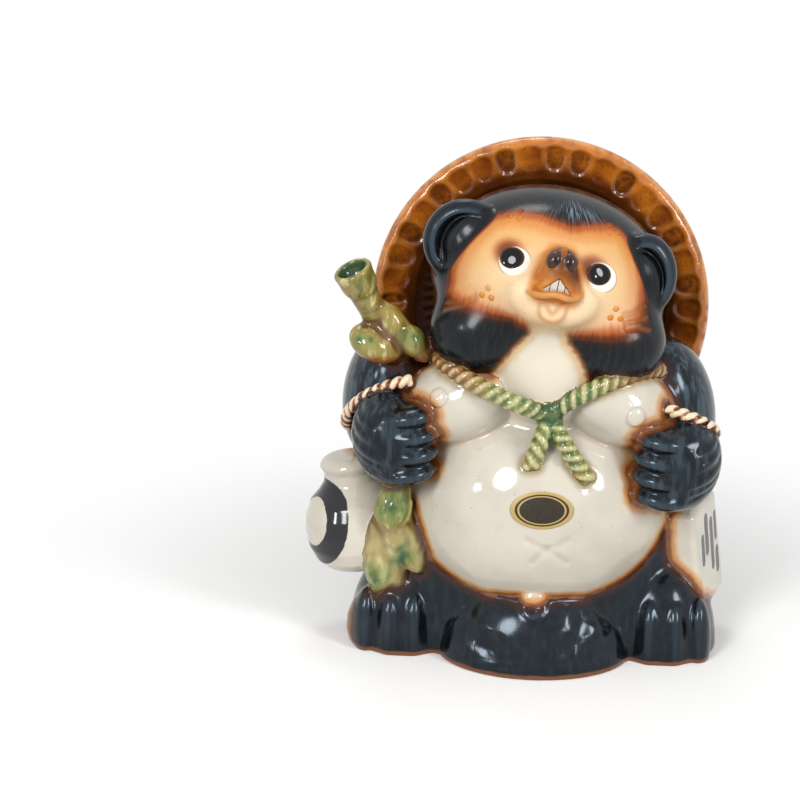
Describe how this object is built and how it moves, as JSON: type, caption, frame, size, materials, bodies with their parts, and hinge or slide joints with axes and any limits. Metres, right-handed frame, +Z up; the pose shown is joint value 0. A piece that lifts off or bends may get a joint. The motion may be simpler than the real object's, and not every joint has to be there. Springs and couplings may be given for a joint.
{
  "type": "tanuki figure",
  "caption": "Seated stoneware tanuki figure with a sedge hat, rope collar, knotty staff, flask, account book and round pale belly, standing on its open base.",
  "frame": {"origin": "middle of the overall box, on the floor", "axes": "+Z up, the figure faces -Y, +X on the viewer's right"},
  "size_m": [0.192, 0.133, 0.2229],
  "materials": {
    "indigo_glaze": "gloss, brushed indigo-black over iron brown",
    "amber_glaze": "gloss amber, dark where it pools",
    "cream_glaze": "gloss cream with iron specks and a sprayed brown edge",
    "tan_slip": "sprayed iron wash under clear glaze",
    "brown_glaze": "gloss iron brown",
    "white_glaze": "gloss white",
    "black_glaze": "gloss black",
    "green_glaze": "gloss copper green, running to amber on the ridges",
    "rope_wash": "brown wash wiped off the ridges",
    "label_foil": "gloss black oval with a gold edge"
  },
  "bodies": {
    "root": {"account_book": "cream_glaze", "arm_left": "indigo_glaze", "arm_right": "indigo_glaze", "bag_tip": "cream_glaze", "belly": "cream_glaze", "chest_left": "cream_glaze", "chest_right": "cream_glaze", "chin": "tan_slip", "cuff_left": "rope_wash", "cuff_right": "rope_wash", "ear_left": "indigo_glaze", "ear_right": "indigo_glaze", "eye_white_left": "white_glaze", "eye_white_right": "white_glaze", "flask": "cream_glaze", "foot_left": "indigo_glaze", "foot_right": "indigo_glaze", "hat": "amber_glaze", "head": "indigo_glaze", "jowl_left": "indigo_glaze", "jowl_right": "indigo_glaze", "label": "label_foil", "lower_lip": "tan_slip", "money_bag": "indigo_glaze", "muzzle": "tan_slip", "nipple_left": "cream_glaze", "nipple_right": "cream_glaze", "nose": "brown_glaze", "paw_left": "indigo_glaze", "paw_right": "indigo_glaze", "pupil_left": "black_glaze", "pupil_right": "black_glaze", "rope_end_left": "green_glaze", "rope_end_right": "green_glaze", "rope_knot": "green_glaze", "rope_left": "green_glaze", "rope_right": "green_glaze", "staff": "green_glaze", "tail": "indigo_glaze", "teeth": "white_glaze", "throat": "cream_glaze", "torso_back_shell": "indigo_glaze", "torso_front_shell": "indigo_glaze", "whisker_spots": "tan_slip"}
  },
  "joints": []
}
